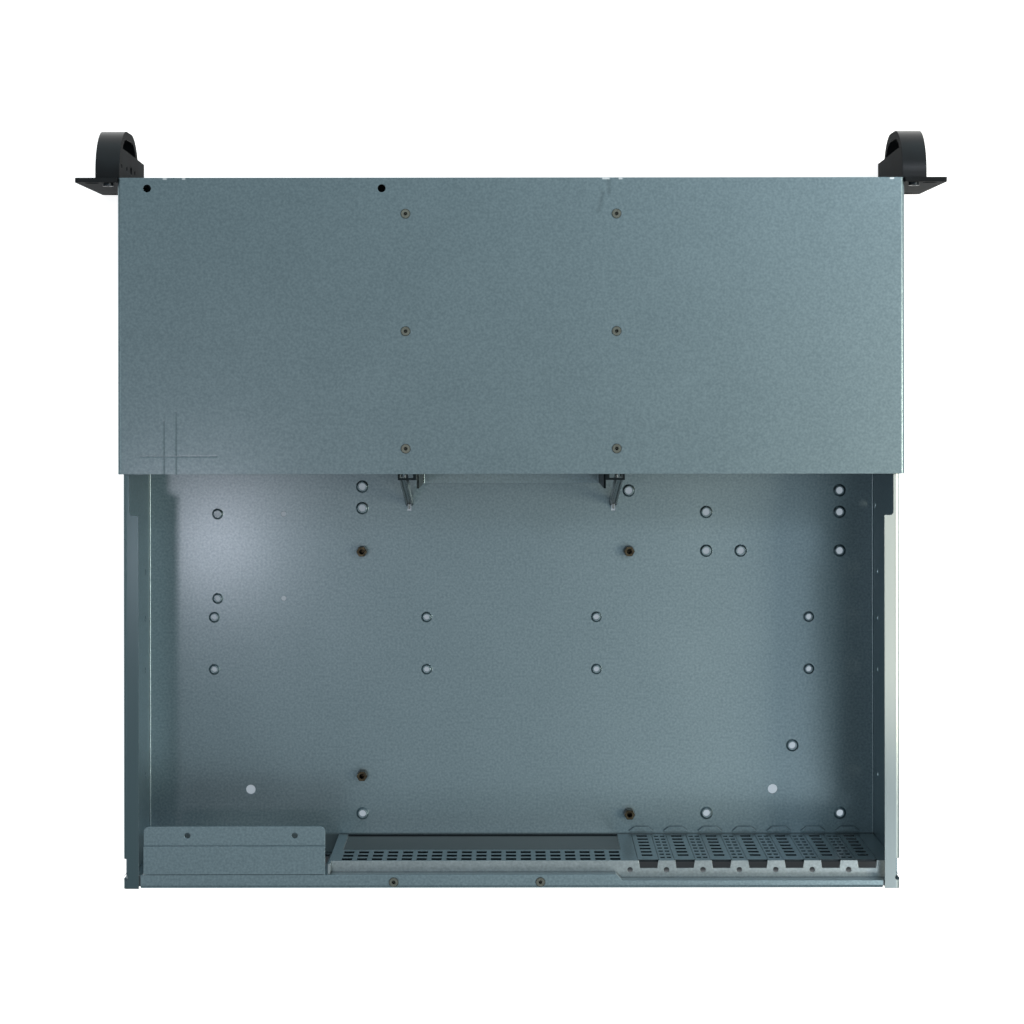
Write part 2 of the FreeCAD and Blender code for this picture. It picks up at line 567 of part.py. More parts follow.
def make_front_panel():
    """Rack panel with its two ears; the cover lies over its middle part."""
    body = new_body("front_panel")
    shoulder = f"({SKIRT} + cover_steel + fit)"
    half = [(EAR, "0"), (EAR, PANEL_TOP), (shoulder, PANEL_TOP), (shoulder, "rim_height")]
    outline = half + [(f"-({u})", v) for u, v in reversed(half)]
    pad(body, "XZ", FRONT, PAN_FRONT, [outline])
    round_edges(body, "Y", both([(EAR, "0"), (EAR, PANEL_TOP)]), "ear_corner")
    start, end = f"{FRONT} - 1", f"{PAN_FRONT} + 1"
    reach = "(rack_slot_long - rack_slot_high) / 2"
    slots = both([(f"{EAR} - rack_slot_in", "rack_slot_up"),
                  (f"{EAR} - rack_slot_in", f"{PANEL_TOP} - rack_slot_up")])
    for side in (-1, 1):
        ends = [((f"{across} + {side} * {reach}", height), "rack_slot_high") for across, height in slots]
        pocket(body, "XZ", start, end, circles=ends)
    middles = [centred(across, height, "(rack_slot_long - rack_slot_high)", "rack_slot_high")
               for across, height in slots]
    pocket(body, "XZ", start, end, middles)
    holes = [(place, "rivet_hole") for place in PANEL_RIVETS]
    holes += [(place, "handle_screw") for place in HANDLE_SCREWS]
    pocket(body, "XZ", start, end, circles=holes)
    for sign in SIDES.values():
        first = f"{INNER} - intake_side - (intake_columns - 1) * intake_pitch"
        rise = "((rim_height - intake_drop - intake_base) / (intake_rows - 1))"
        slot = centred(first, "intake_base", "intake_slot_wide", f"(intake_share * {rise})")
        cut = pocket(body, "XZ", start, end, [mirror_outline(slot, sign)])
        repeat(cut, across=("intake_pitch", "intake_columns"), along=(rise, "intake_rows"), reverse=sign < 0)


def make_handle(side, sign):
    """Moulded handle: a bowed grip with its inner cheek, bored at both ends for its screws."""
    body = new_body(f"handle_{side}")
    tip = f"({FRONT} - grip_reach)"
    inside = f"({tip} + grip_thick)"
    start, end = span(CHEEK, f"{CHEEK} + handle_width", sign)
    pad(body, "YZ", start, end, [rectangle(tip, FRONT, "grip_base", GRIP_TOP)])
    window = rectangle(inside, FRONT, "grip_base + grip_thick", f"{GRIP_TOP} - grip_thick")
    start, end = span(f"{CHEEK} - 1", f"{CHEEK} + handle_width + 1", sign)
    pocket(body, "YZ", start, end, [window])
    round_edges(body, "X", [(inside, "grip_base + grip_thick"), (inside, f"{GRIP_TOP} - grip_thick")],
                "grip_round - grip_thick")
    round_edges(body, "X", [(tip, "grip_base"), (tip, GRIP_TOP)], "grip_round")
    # The cheek closes the grip's inner side, apart from a gap behind the grip's front.
    front = f"({FRONT} - cheek_reach)"
    cheek = [(FRONT, "cheek_foot"), (FRONT, GRIP_TOP), (f"{tip} + grip_round", GRIP_TOP),
             (front, f"{GRIP_TOP} - grip_thick - 1"), (f"{front} + cheek_lean", "cheek_foot")]
    start, end = span(CHEEK, f"{CHEEK} + cheek_steel", sign)
    pad(body, "YZ", start, end, [cheek])
    bores = [((f"{sign} * ({CHEEK} + handle_width / 2)", height), "handle_screw") for height in SCREW_HEIGHTS]
    pocket(body, "XZ", f"{FRONT} - handle_screw_deep", f"{FRONT} + 1", circles=bores)
    if side == "left":
        place = f"{FRONT} - cheek_hole_in"
        marks = [((place, f"{GRIP_TOP} - {drop}"), "lamp_hole")
                 for drop in ("lamp_first", "lamp_second", "lamp_third")]
        marks.append(((place, f"{GRIP_TOP} - button_drop"), "button_hole"))
        start, end = span(f"{CHEEK} - 1", f"{CHEEK} + cheek_steel + 1", sign)
        pocket(body, "YZ", start, end, circles=marks)


def make_drive_cage():
    """Folded tray under the cover, hung from it by its two outward flanges."""
    body = new_body("drive_cage")
    half = [(BAY, "bay_floor + steel"), (BAY, "rim_height"), (BAY_FLANGE, "rim_height"),
            (BAY_FLANGE, UNDER_RIM), (BAY_OUT, UNDER_RIM), (BAY_OUT, "bay_floor")]
    section = half + [(f"-({u})", v) for u, v in reversed(half)]
    pad(body, "XZ", BAY_FRONT, BAY_REAR, [section])
    round_edges(body, "Y", both([(BAY, "bay_floor + steel"), (BAY_OUT, UNDER_RIM)]), "bend")
    round_edges(body, "Y", both([(BAY_OUT, "bay_floor"), (BAY, "rim_height")]), "bend + steel")
    for sign in SIDES.values():
        corner = rectangle(BAY_OUT, f"{BAY_FLANGE} + 1", LEG_TOP, f"{BAY_REAR} + 1")
        pocket(body, "XY", f"{UNDER_RIM} - 1", "rim_height + 1", [mirror_outline(corner, sign)])
        relief = rectangle(f"{BAY_OUT} + relief_side", f"{BAY_FLANGE} - relief_edge",
                           COVER_REAR, f"{LEG_TOP} - relief_edge")
        pocket(body, "XY", f"{UNDER_RIM} - 1", "rim_height + 1", [mirror_outline(relief, sign)])
        start, end = span(f"{BAY} - 1", f"{BAY_OUT} + 1", sign)
        holes = [((f"{BAY_FRONT} + drive_first + {along}", f"bay_floor + steel + drive_hole_rise + {level}"),
                  "drive_hole")
                 for along in ("0", "drive_pitch", "drive_span") for level in ("0", "drive_level")]
        pocket(body, "YZ", start, end, circles=holes)
    rivets = [(place, "rivet_hole") for place in COVER_RIVETS + COVER_LEG_RIVETS]
    pocket(body, "XY", f"{UNDER_RIM} - 1", "rim_height + 1", circles=rivets)


def make_cage_leg(side, sign):
    """Channel leg from under the cage's flange down and back to a hook in the floor."""
    body = new_body(f"cage_leg_{side}")
    top = f"({UNDER_RIM} - steel)"
    front = f"({COVER_REAR} - leg_long)"
    plate = rectangle(f"{BAY_OUT} + bend", LEG_OUT, front, COVER_REAR)
    pad(body, "XY", top, UNDER_RIM, [mirror_outline(plate, sign)])
    cheek = [(f"{COVER_REAR} - leg_gusset", UNDER_RIM), (COVER_REAR, UNDER_RIM), (COVER_REAR, top),
             (LEG_TOP, top), (LEG_FOOT, "steel"), (f"{LEG_FOOT} - leg_deep", "steel"),
             (f"{LEG_TOP} - leg_deep", f"{top} - leg_gusset_high")]
    for inner, outer in ((LEG_IN, f"{LEG_IN} + leg_side"), (f"{LEG_OUT} - leg_side", LEG_OUT)):
        start, end = span(inner, outer, sign)
        pad(body, "YZ", start, end, [cheek])
    face = [(f"{LEG_TOP} - leg_sunk - leg_face", top), (f"{LEG_TOP} - leg_sunk", top),
            (f"{LEG_FOOT} - leg_sunk", "steel"), (f"{LEG_FOOT} - leg_sunk - leg_face", "steel")]
    start, end = span(LEG_IN, LEG_OUT, sign)
    pad(body, "YZ", start, end, [face])
    back = f"({LEG_FOOT} - leg_deep)"
    tongue = rectangle(back, f"{back} + hook_long", "fit", "steel + leg_deep")
    start, end = span("leg_line - leg_side / 2", "leg_line + leg_side / 2", sign)
    pad(body, "YZ", start, end, [tongue])
    across, along = COVER_LEG_RIVETS[0]
    hole = ((f"{sign} * ({across})", along), "rivet_hole")
    pocket(body, "XY", f"{top} - 1", f"{UNDER_RIM} + 1", circles=[hole])


def make_rear_panel():
    """Rear wall: recessed behind the board and slots, with the ledge, and out to the rear by the supply."""
    body = new_body("rear_panel")
    outer = f"({LIP} - steel)"
    folded = [(f"-{INNER}", WALL), (RECESS_END, WALL), (RECESS_END, outer), (INNER, outer), (INNER, LIP),
              (RECESS_IN, LIP), (RECESS_IN, WALL_BACK), (f"-{INNER}", WALL_BACK)]
    pad(body, "XY", "steel", LEDGE, [folded])
    # Above the ledge only the part beside the supply goes on up to the rim.
    upper = [(RECESS_IN, WALL), (RECESS_END, WALL), (RECESS_END, outer), (INNER, outer),
             (INNER, LIP), (RECESS_IN, LIP)]
    pad(body, "XY", f"{LEDGE} - steel", UNDER_RIM, [upper])
    wide = f"({REAR} - rim_wide + rim_overlap)"
    narrow = f"({REAR} - rim_narrow + rim_overlap)"
    jog = "(rim_wide - rim_narrow)"
    near, far = f"-{RIM_STEP} + {jog} / 2", f"-{RIM_STEP} - {jog} / 2"
    ledge = [(f"-{INNER}", WALL), (RECESS_IN, WALL), (RECESS_IN, f"{wide} + steel"),
             (near, f"{wide} + steel"), (far, f"{narrow} + steel"), (f"-{INNER}", f"{narrow} + steel")]
    pad(body, "XY", f"{LEDGE} - steel", LEDGE, [ledge])
    riser = [(RECESS_IN, wide), (RECESS_IN, f"{wide} + steel"), (near, f"{wide} + steel"),
             (far, f"{narrow} + steel"), (f"-{INNER}", f"{narrow} + steel"), (f"-{INNER}", narrow),
             (far, narrow), (near, wide)]
    pad(body, "XY", f"{LEDGE} - steel", UNDER_RIM, [riser])
    top = [(RECESS_IN, wide), (RECESS_IN, LIP), (f"-{INNER}", LIP), (f"-{INNER}", narrow),
           (far, narrow), (near, wide)]
    pad(body, "XY", f"{UNDER_RIM} - steel", UNDER_RIM, [top])
    turn = rectangle(RECESS_IN, INNER, f"{REAR} - rim_wide + fit", LIP)
    pad(body, "XY", f"{UNDER_RIM} - steel", UNDER_RIM, [turn])
    shelf = rectangle(f"{SUPPLY_RIGHT} + supply_shelf_in", f"{SUPPLY_LEFT} - supply_shelf_in",
                      f"{REAR} - rim_wide - supply_shelf", LIP)
    pad(body, "XY", f"{UNDER_RIM} - steel", UNDER_RIM, [shelf])
    # The corners clear the pan's own folds.
    round_edges(body, "Y", both([(INNER, "steel"), (INNER, UNDER_RIM)]), "bend + fit / 2")
    window = rectangle(f"{RECESS_END} + supply_margin", f"{INNER} - supply_margin",
                       "supply_window_low", f"{UNDER_RIM} - supply_window_drop")
    pocket(body, "XZ", f"{outer} - 1", f"{LIP} + 1", [window])
    rivets = [(place, "rivet_hole") for place in RIM_RIVETS]
    pocket(body, "XY", f"{UNDER_RIM} - steel - 1", f"{UNDER_RIM} + 1", circles=rivets)
    start, end = f"{WALL} - 1", f"{WALL_BACK} + 1"
    edge = f"({BOARD_LEFT} + aperture_inset)"
    aperture = rectangle(f"{edge} - aperture_wide", edge, "aperture_base", "aperture_base + aperture_high")
    pocket(body, "XZ", start, end, [aperture])
    screw = (f"-{SLOT_FIRST} + screw_offset", f"{WALL} + screw_inset")
    cut = pocket(body, "XY", f"{LEDGE} - steel - 1", f"{LEDGE} + 1", circles=[(screw, "screw_hole")])
    repeat(cut, across=("slot_pitch", "slot_count"), reverse=True)
    # The notch lets a bracket's neck pass from the wall onto the ledge.
    notch = [(f"-{SLOT_FIRST} - notch_front / 2", f"{WALL} - 1"),
             (f"-{SLOT_FIRST} + notch_front / 2", f"{WALL} - 1"),
             (f"-{SLOT_FIRST} + notch_back / 2", f"{WALL} + notch_deep"),
             (f"-{SLOT_FIRST} - notch_back / 2", f"{WALL} + notch_deep")]
    cut = pocket(body, "XY", f"{LEDGE} - steel - fit", f"{LEDGE} + 1", [notch])
    repeat(cut, across=("slot_pitch", "slot_count"), reverse=True)
    opening = rectangle(f"-{SLOT_FIRST} - slot_wide / 2", f"-{SLOT_FIRST} + slot_wide / 2",
                        "slot_base", f"{LEDGE} - steel")
    cut = pocket(body, "XZ", start, end, [opening])
    repeat(cut, across=("slot_pitch", "slot_count"), reverse=True)
    vent_first = f"({edge} - aperture_wide / 2 - (vent_columns - 1) * vent_pitch / 2)"
    lowest = "(aperture_base + aperture_high + vent_clear)"
    rise = f"(({LEDGE} - vent_drop - {lowest}) / (vent_rows - 1))"
    cut = pocket(body, "XZ", start, end, [centred(vent_first, lowest, "vent_wide", f"(vent_share * {rise})")])
    repeat(cut, across=("vent_pitch", "vent_columns"), along=(rise, "vent_rows"))
    pair = [centred(f"-{SLOT_FIRST} - slot_pitch / 2 + {side} * web_vent_gap / 2", "web_vent_base",
                    "web_vent_wide", "web_vent_high") for side in (-1, 1)]
    cut = pocket(body, "XZ", start, end, pair)
    rise = f"(({LEDGE} - web_vent_drop - web_vent_base) / (web_vent_rows - 1))"
    repeat(cut, across=("slot_pitch", "(slot_count - 1)"), along=(rise, "web_vent_rows"), reverse=True)


def make_rear_rim():
    """Strip along the top of the rear, with a lip that hangs down behind."""
    body = new_body("rear_rim")
    jog = "(rim_wide - rim_narrow)"
    strip = [(f"-{RIM_END}", REAR), (f"-{RIM_END}", f"{REAR} - rim_narrow"),
             (f"-{RIM_STEP} - {jog} / 2", f"{REAR} - rim_narrow"),
             (f"-{RIM_STEP} + {jog} / 2", f"{REAR} - rim_wide"),
             (RIM_END, f"{REAR} - rim_wide"), (RIM_END, REAR)]
    pad(body, "XY", UNDER_RIM, "rim_height", [strip])
    pad(body, "XY", "rim_height - rim_lip", "rim_height", [rectangle(f"-{RIM_END}", RIM_END, LIP, REAR)])
    round_edges(body, "X", [(REAR, "rim_height")], "bend + steel")
    rivets = [(place, "rivet_hole") for place in RIM_RIVETS]
    pocket(body, "XY", f"{UNDER_RIM} - 1", "rim_height + 1", circles=rivets)


def make_supply_bracket():
    """Joggled plate over the power supply bay; its rear part lies on the rear panel's flange."""
    body = new_body("supply_bracket")
    back = f"({REAR} - rim_wide - fit)"
    fold = f"({back} - supply_fold)"
    front = f"({back} - supply_deep)"
    section = [(front, f"{UNDER_RIM} - steel"), (f"{fold} + steel", f"{UNDER_RIM} - steel"),
               (f"{fold} + steel", UNDER_RIM), (back, UNDER_RIM), (back, "rim_height"), (fold, "rim_height"),
               (fold, UNDER_RIM), (front, UNDER_RIM)]
    pad(body, "YZ", SUPPLY_RIGHT, SUPPLY_LEFT, [section])
    round_edges(body, "Z", [(SUPPLY_RIGHT, front), (SUPPLY_LEFT, front)], "cover_corner")
    holes = [((across, f"{front} + supply_hole_in"), "supply_hole")
             for across in (f"{SUPPLY_LEFT} - supply_hole_side", f"{SUPPLY_RIGHT} + supply_hole_end")]
    pocket(body, "XY", f"{UNDER_RIM} - steel - 1", f"{UNDER_RIM} + 1", circles=holes)


def make_slot_blank(index):
    """Vented blank that fills one expansion slot, held by four small bridges."""
    body = new_body(f"slot_blank_{index + 1}")
    centre = f"(-{SLOT_FIRST} - {index} * slot_pitch)"
    top = f"({LEDGE} - blank_top)"
    low = "(slot_base + blank_gap)"
    plate = centred(centre, f"({top} + {low}) / 2", "(slot_wide - 2 * blank_gap)", f"({top} - {low})")
    pad(body, "XZ", WALL, WALL_BACK, [plate])
    bridges = [centred(centre, height, "slot_wide", "nib_long")
               for height in (f"{low} + nib_inset", f"{top} - nib_inset")]
    pad(body, "XZ", WALL, WALL_BACK, bridges)
    slot = centred(centre, "blank_base", "blank_slot_wide", "blank_slot_high")
    cut = pocket(body, "XZ", f"{WALL} - 1", f"{WALL_BACK} + 1", [slot])
    repeat(cut, along=(f"(({top} - blank_drop - blank_base) / (blank_rows - 1))", "blank_rows"))


def bound(kind, name, sizes, place):
    """A Part primitive with its sizes and its place tied to the sheet."""
    item = doc.addObject(f"Part::{kind}", name)
    for key, formula in sizes.items():
        item.setExpression(key, size(formula))
    for axis, formula in zip("xyz", place):
        item.setExpression(f"Placement.Base.{axis}", size(formula))
    return item


def turned(name, pieces, across, along, axis):
    """A turned part: cylinders joined along Z, or along -Y, with the last one cut out as its hollow."""
    parts = []
    for piece, diameter, length, level in pieces:
        place = (across, f"-({level})", along) if axis == "Y" else (across, along, level)
        sizes = {"Radius": f"{diameter} / 2", "Height": length}
        cylinder = bound("Cylinder", f"{name}_{piece}", sizes, place)
        if axis == "Y":
            # Turned about X so that the levels run forward, towards -Y.
            cylinder.Placement.Rotation = FreeCAD.Rotation(FreeCAD.Vector(1, 0, 0), 90)
        parts.append(cylinder)
    whole = doc.addObject("Part::MultiFuse", f"{name}_whole")
    whole.Shapes = parts[:-1]
    item = doc.addObject("Part::Cut", name)
    item.Base, item.Tool = whole, parts[-1]
    return item


def make_group(label, items):
    group = doc.addObject("Part::Compound", label)
    group.Label = label
    group.Links = items


def make_rivets(label, groups, seat, axis="Z"):
    """Rivets of one kind: a low head on the seat, a shank through the sheets and a tail below them."""
    rivets = []
    places = [(*place, depth) for depth, group in groups for place in group]
    for index, (across, along, depth) in enumerate(places):
        pieces = [("head", "rivet_head", "rivet_crown", seat),
                  ("shank", "rivet_hole", depth, f"({seat}) - ({depth})"),
                  ("tail", "rivet_tail", "rivet_tail_high", f"({seat}) - ({depth}) - rivet_tail_high"),
                  ("hollow", "rivet_bore", "rivet_bore_deep", f"({seat}) + rivet_crown - rivet_bore_deep")]
        rivets.append(turned(f"{label}_{index}", pieces, across, along, axis))
    make_group(label, rivets)


def make_handle_screws():
    """Screws from behind the ears into the ends of the grips."""
    behind = f"(-{PAN_FRONT} - handle_screw_high)"
    pieces = [("head", "handle_screw_head", "handle_screw_high", behind),
              ("shank", "handle_screw", "panel_steel + handle_screw_deep", f"-{PAN_FRONT}"),
              ("socket", "handle_screw_socket", "handle_screw_hollow", behind)]
    screws = [turned(f"handle_screw_{index}", pieces, across, height, "Y")
              for index, (across, height) in enumerate(HANDLE_SCREWS)]
    make_group("handle_screws", screws)


def make_standoffs():
    """Hexagonal brass standoffs, screwed into the floor."""
    standoffs = []
    for index, (across, along) in enumerate(STANDOFFS):
        name = f"standoff_{index}"
        hexagon = bound("Prism", f"{name}_hexagon",
                        {"Circumradius": "standoff_flats / sqrt(3)", "Height": "standoff_high"},
                        (across, along, "steel"))
        stud = bound("Cylinder", f"{name}_stud", {"Radius": "standoff_stud / 2", "Height": "steel"},
                     (across, along, "0"))
        bore = bound("Cylinder", f"{name}_bore", {"Radius": "standoff_bore / 2", "Height": "standoff_high"},
                     (across, along, "steel + standoff_web"))
        solid = doc.addObject("Part::Fuse", f"{name}_solid")
        solid.Base, solid.Tool = hexagon, stud
        standoff = doc.addObject("Part::Cut", name)
        standoff.Base, standoff.Tool = solid, bore
        standoffs.append(standoff)
    make_group("standoffs", standoffs)


make_chassis_base()
make_front_cover()
make_front_panel()
for side, sign in SIDES.items():
    make_handle(side, sign)
    make_cage_leg(side, sign)
make_drive_cage()
make_rear_panel()
make_rear_rim()
make_supply_bracket()
for index in range(int(number("slot_count"))):
    make_slot_blank(index)
make_standoffs()
make_handle_screws()
make_rivets("cover_rivets",
            [("cover_steel + steel", COVER_RIVETS), ("cover_steel + 2 * steel", COVER_LEG_RIVETS)], COVER_TOP)
make_rivets("rim_rivets", [("2 * steel", RIM_RIVETS)], "rim_height")
make_rivets("panel_rivets", [("panel_steel + steel", PANEL_RIVETS)], "case_depth / 2", axis="Y")

doc.recompute()

TOP_KINDS = ("PartDesign::Body", "Part::Compound")
NODES = [item for item in doc.Objects if item.TypeId in TOP_KINDS]
for item in doc.Objects:
    if "Invalid" in item.State or "Error" in item.State:
        raise RuntimeError(f"{item.Name} failed: {item.State}")
for node in NODES:
    if node.Shape.isNull() or not node.Shape.isValid():
        raise RuntimeError(f"{node.Label} has no valid shape")

os.makedirs("parts", exist_ok=True)
for node in NODES:
    node.Shape.exportStep(f"parts/{node.Label}.step")
    print(f"{node.Label}: {len(node.Shape.Solids)} solids, {node.Shape.Volume:.0f} mm3")
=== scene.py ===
# %% [markdown]
# # An empty rackmount server case
#
# The object is a short, two unit rack case with its rear lid off. It is folded from thin
# zinc-coated steel sheet and riveted together, with a black front panel and two black
# handles. Its shapes come from the CAD model, which is loaded first and never moved.
# Blender adds what CAD can't: the finishes, the floor, the light and the camera.

# %% Load the model
import math

import bpy
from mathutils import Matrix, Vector


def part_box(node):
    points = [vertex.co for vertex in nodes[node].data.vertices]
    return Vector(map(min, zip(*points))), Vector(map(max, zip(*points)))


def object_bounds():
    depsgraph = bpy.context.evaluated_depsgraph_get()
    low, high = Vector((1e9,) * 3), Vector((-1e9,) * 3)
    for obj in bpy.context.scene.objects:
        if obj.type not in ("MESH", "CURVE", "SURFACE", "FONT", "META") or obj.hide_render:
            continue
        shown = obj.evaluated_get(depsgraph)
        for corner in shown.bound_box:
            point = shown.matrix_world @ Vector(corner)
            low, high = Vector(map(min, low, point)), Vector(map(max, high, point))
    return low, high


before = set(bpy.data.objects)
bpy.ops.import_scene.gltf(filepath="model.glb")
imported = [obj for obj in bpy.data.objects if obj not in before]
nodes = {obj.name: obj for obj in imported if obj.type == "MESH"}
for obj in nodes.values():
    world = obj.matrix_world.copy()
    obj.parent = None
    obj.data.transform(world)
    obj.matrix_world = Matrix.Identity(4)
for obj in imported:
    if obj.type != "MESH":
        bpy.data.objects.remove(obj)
cad_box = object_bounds()
print("pieces in the model:", len(nodes))

# %% [markdown]
# ## Sizes
#
# Blender works in metres, and sheet metal is drawn in millimetres. One short name turns
# one into the other, so that every size below reads as it would on a drawing. The places
# of marks and finishes are counted from the edges of the model's own pieces. The front is
# at -Y. Left and right are as seen from the rear, so left is at +X.

# %% Millimetres and main sizes
MM = 0.001


def corners_mm(name):
    """The lowest and the highest corner of a piece, in millimetres."""
    return [Vector(corner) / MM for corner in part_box(name)]


low, high = (Vector(corner) for corner in cad_box)
SIDE, REAR, RIM = corners_mm("chassis_base")[1]
print("whole object, mm:", [round(value / MM, 1) for value in high - low])
print("pan, half its width, its rear and its rim, mm:", [round(value, 2) for value in (SIDE, REAR, RIM)])

# %% [markdown]
# ## Colours
#
# Colours are picked as sRGB hex values, as on a paint card, but a renderer adds light in
# linear numbers. One function does the conversion, so no colour is written twice.


# %% From hex to linear colour
def colour(code):
    """Linear RGBA of an sRGB hex colour such as 8899AA."""
    channels = [int(code[start:start + 2], 16) / 255 for start in (0, 2, 4)]
    return [c / 12.92 if c <= 0.04045 else ((c + 0.055) / 1.055) ** 2.4 for c in channels] + [1.0]


print("a zinc grey in linear numbers:", [round(channel, 3) for channel in colour("869AA2")])

# %% [markdown]
# ## Building a material
#
# Materials are networks of nodes. The function below adds one node with its settings and
# joins what goes into it. A socket that is given a number keeps that number, and one that
# is given another node's output is linked.


# %% One node at a time
def add(material, kind, inputs=None, **settings):
    """Add one node to a material, or to the world, and give back the node."""
    tree = material.node_tree
    node = tree.nodes.new(f"ShaderNode{kind}")
    for name, value in settings.items():
        setattr(node, name, value)
    for name, value in (inputs or {}).items():
        if isinstance(value, bpy.types.NodeSocket):
            tree.links.new(value, node.inputs[name])
        else:
            node.inputs[name].default_value = value
    return node


def new_material(name):
    """An empty material that is ready for nodes."""
    material = bpy.data.materials.new(name)
    material.use_nodes = True
    material.node_tree.nodes.clear()
    return material


def finish_material(material, shader):
    """Join the last shader to the material's output."""
    add(material, "OutputMaterial", {"Surface": shader.outputs[0]})
    return material


# %% [markdown]
# Three steps come back in nearly every finish. A noise whose grain is a real size in
# millimetres gives mottling and roughness, a remap squeezes it into the range of values
# that the finish needs, and a mix lays one colour over another. The noise works on object
# coordinates, which are metres here, so its scale is one over the grain in metres.


# %% Grain, range and blend
def grain(material, size_mm, detail):
    """Noise with features about size_mm across, from 0 to 1."""
    place = add(material, "TexCoord").outputs["Object"]
    noise = add(material, "TexNoise", {"Vector": place, "Scale": 1 / (size_mm * MM), "Detail": detail})
    return noise.outputs[0]


def between(material, value, start, end, low_in=0.3, high_in=0.7):
    """Turn low_in to high_in, which is where most of a noise lies, into start to end."""
    spread = add(material, "MapRange", {"Value": value, "From Min": low_in, "From Max": high_in,
                                        "To Min": start, "To Max": end})
    return spread.outputs[0]


def blend_colours(material, amount, first, second):
    """Mix two colours, each a hex value or another node's output."""
    first, second = (colour(value) if isinstance(value, str) else value for value in (first, second))
    return add(material, "Mix", {0: amount, 6: first, 7: second}, data_type="RGBA").outputs[2]


# %% [markdown]
# ## Galvanised steel
#
# The case is hot-dip galvanised sheet, skin-passed between rollers at the mill. Zinc is a
# blue-grey metal, neither mirror nor paint. Part of its skin is rolled flat and gives a
# narrow highlight, and the rest is roughened and spreads the light widely, so the finish
# is two metals mixed: one smooth, one rough. The rollers leave a fine speckle about a
# millimetre across. A folded sheet has no sharp edges either, so a bevel rounds every
# edge in the shading, and the speckle lies on top of that.

# %% The skin of the zinc
SPECKLE = 1.3
SPECKLE_DEPTH = 0.02
FOLD = 0.25
ROLLED_FLAT, ROUGHENED = 0.2, 0.45


def rounded(material, radius_mm, samples=4):
    """The surface's direction, with its edges rounded."""
    return add(material, "Bevel", {"Radius": radius_mm * MM}, samples=samples).outputs[0]


def bump(material, height, strength, depth_mm, normal):
    """A relief that lies on top of another surface direction."""
    relief = {"Height": height, "Strength": strength, "Distance": depth_mm * MM, "Normal": normal}
    return add(material, "Bump", relief).outputs[0]


def zinc(material, tint, normal=None, flat_share=0.3):
    """Skin-passed zinc: a smooth and a rough metal in one skin, with the rollers' speckle."""
    folds = normal or rounded(material, FOLD)
    skin = bump(material, grain(material, SPECKLE, 2), 0.12, SPECKLE_DEPTH, folds)
    rough, flat = (
        add(material, "BsdfPrincipled", {"Base Color": tint, "Metallic": 1.0, "Roughness": value,
                                         "Normal": skin}).outputs[0]
        for value in (ROUGHENED, ROLLED_FLAT))
    return add(material, "MixShader", {0: flat_share, 1: rough, 2: flat})


# %% [markdown]
# The colour of the zinc isn't even. It has faint clouds a few centimetres wide from the
# zinc bath, and the rollers' speckle shows in it too. Where two sheets meet, under edges
# and round the heads of rivets, shade is painted into the colour. Ambient occlusion finds
# such corners: it measures how much of the surroundings a point can see.

# %% The colour of the zinc
CLOUD = 45
SHADE_REACH = 1.5


def zinc_tint(material, dark, light):
    """Faint clouds and a fine speckle, between two greys."""
    clouds = between(material, grain(material, CLOUD, 3), 0.44, 0.56)
    speckle = between(material, grain(material, SPECKLE, 2), -0.35, 0.35)
    tone = add(material, "Math", {0: clouds, 1: speckle}, operation="ADD").outputs[0]
    return blend_colours(material, tone, dark, light)


def occlusion_shade(material, tint, shade_colour="343B3F"):
    """Painted shade: darkens a colour in corners, under edges and round the heads of rivets."""
    seen = add(material, "AmbientOcclusion", {"Distance": SHADE_REACH * MM}, samples=8).outputs["AO"]
    unshaded = between(material, seen, 0, 1, 0.25, 0.85)
    return blend_colours(material, unshaded, shade_colour, tint)


# %% [markdown]
# Some finishes change with the place on the piece: a flange gets a painted highlight, a strip painted shade.
# A mask says where, with 1 for yes and 0 for no. It starts from a point's place along one
# axis and turns it into a soft step, and two masks can be asked to hold together.


# %% Masks by place
def along(material, axis):
    """A point's place along X, Y or Z, in metres."""
    return add(material, "SeparateXYZ", {0: add(material, "TexCoord").outputs["Object"]}).outputs[axis]


def step(material, value, start_mm, end_mm):
    """0 at the start, 1 at the end and past it, and a soft slope between."""
    fade = add(material, "MapRange", {"Value": value, "From Min": start_mm * MM, "From Max": end_mm * MM},
               interpolation_type="SMOOTHSTEP")
    return fade.outputs[0]


def both(material, first, second):
    """1 only where both masks are 1."""
    return add(material, "Math", {0: first, 1: second}, operation="MINIMUM").outputs[0]


# %% [markdown]
# The pan's two top flanges are where lids and hands slide. The one on the right carries a
# painted highlight, brighter towards the front, and the one on the left is painted dark as
# shade. The strip of floor behind the recessed wall is painted grey as shade too.

# %% The pan's steel
FLANGE = 8.4
SHEET = 1.2
HIGHLIGHT_FULL_TO, HIGHLIGHT_FADED_FROM = 70, 150
SHADE_STRIP_HIGH = 5
WALL = corners_mm("slot_blank_1")[0].y


